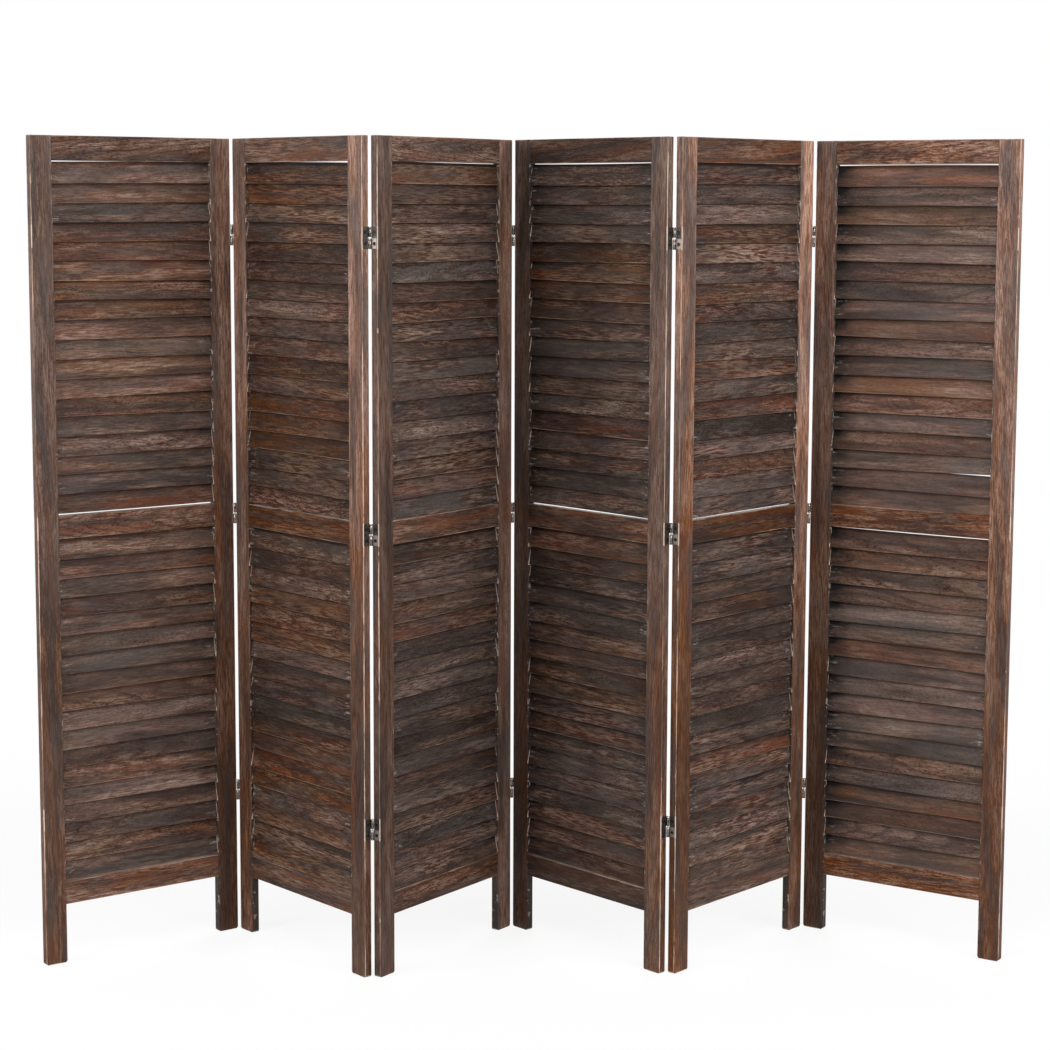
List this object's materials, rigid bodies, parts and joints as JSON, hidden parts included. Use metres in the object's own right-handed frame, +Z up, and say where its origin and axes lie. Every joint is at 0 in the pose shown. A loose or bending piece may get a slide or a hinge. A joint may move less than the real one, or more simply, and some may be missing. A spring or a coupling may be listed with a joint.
{
  "type": "folding room divider screen",
  "caption": "Folding room divider screen: louvred wooden panels on leg stiles, joined by loose-joint hinges to stand in a zigzag, open flat or fold into a stack.",
  "frame": {"origin": "floor level, at the middle of the plan of the screen as it stands in its zigzag", "axes": "+Z up, +X along the screen from the first panel to the last, +Y from its front to its back"},
  "size_m": [1.9948, 0.3976, 1.7],
  "materials": {
    "stile_wood": "dark brown stain, brushed grain, satin, worn arrises",
    "rail_wood": "dark brown stain, brushed grain, satin",
    "slat_wood": "dark brown stain with greyish and reddish slats, brushed grain, satin",
    "hinge_metal": "dark bronze, worn to steel at the edges",
    "pin_steel": "plain steel"
  },
  "bodies": {
    "panel_1": {"panel_1_bottom_rail": "rail_wood", "panel_1_hinge_leaves": "hinge_metal", "panel_1_hinge_pins": "pin_steel", "panel_1_left_stile": "stile_wood", "panel_1_lower_slats": "slat_wood", "panel_1_middle_rail": "rail_wood", "panel_1_right_stile": "stile_wood", "panel_1_top_rail": "rail_wood", "panel_1_upper_slats": "slat_wood"},
    "panel_2": {"panel_2_bottom_rail": "rail_wood", "panel_2_hinge_leaves": "hinge_metal", "panel_2_left_stile": "stile_wood", "panel_2_lower_slats": "slat_wood", "panel_2_middle_rail": "rail_wood", "panel_2_right_stile": "stile_wood", "panel_2_top_rail": "rail_wood", "panel_2_upper_slats": "slat_wood"},
    "panel_3": {"panel_3_bottom_rail": "rail_wood", "panel_3_hinge_leaves": "hinge_metal", "panel_3_hinge_pins": "pin_steel", "panel_3_left_stile": "stile_wood", "panel_3_lower_slats": "slat_wood", "panel_3_middle_rail": "rail_wood", "panel_3_right_stile": "stile_wood", "panel_3_top_rail": "rail_wood", "panel_3_upper_slats": "slat_wood"},
    "panel_4": {"panel_4_bottom_rail": "rail_wood", "panel_4_hinge_leaves": "hinge_metal", "panel_4_left_stile": "stile_wood", "panel_4_lower_slats": "slat_wood", "panel_4_middle_rail": "rail_wood", "panel_4_right_stile": "stile_wood", "panel_4_top_rail": "rail_wood", "panel_4_upper_slats": "slat_wood"},
    "panel_5": {"panel_5_bottom_rail": "rail_wood", "panel_5_hinge_leaves": "hinge_metal", "panel_5_hinge_pins": "pin_steel", "panel_5_left_stile": "stile_wood", "panel_5_lower_slats": "slat_wood", "panel_5_middle_rail": "rail_wood", "panel_5_right_stile": "stile_wood", "panel_5_top_rail": "rail_wood", "panel_5_upper_slats": "slat_wood"},
    "panel_6": {"panel_6_bottom_rail": "rail_wood", "panel_6_hinge_leaves": "hinge_metal", "panel_6_left_stile": "stile_wood", "panel_6_lower_slats": "slat_wood", "panel_6_middle_rail": "rail_wood", "panel_6_right_stile": "stile_wood", "panel_6_top_rail": "rail_wood", "panel_6_upper_slats": "slat_wood"}
  },
  "joints": [
    {"name": "fold_1_2", "type": "hinge", "parent": "panel_1", "child": "panel_2", "pos_m": [-0.62132, 0.1565, 0], "axis": [0, 0, -1], "range_deg": [-88, 92]},
    {"name": "fold_2_3", "type": "hinge", "parent": "panel_2", "child": "panel_3", "pos_m": [-0.30996, -0.19067, 0], "axis": [0, 0, 1], "range_deg": [-105.5, 74.5]},
    {"name": "fold_3_4", "type": "hinge", "parent": "panel_3", "child": "panel_4", "pos_m": [-0.02939, 0.18182, 0], "axis": [0, 0, -1], "range_deg": [-104, 76]},
    {"name": "fold_4_5", "type": "hinge", "parent": "panel_4", "child": "panel_5", "pos_m": [0.29095, -0.15708, 0], "axis": [0, 0, 1], "range_deg": [-98.5, 81.5]},
    {"name": "fold_5_6", "type": "hinge", "parent": "panel_5", "child": "panel_6", "pos_m": [0.60593, 0.18681, 0], "axis": [0, 0, -1], "range_deg": [-84, 96]}
  ]
}
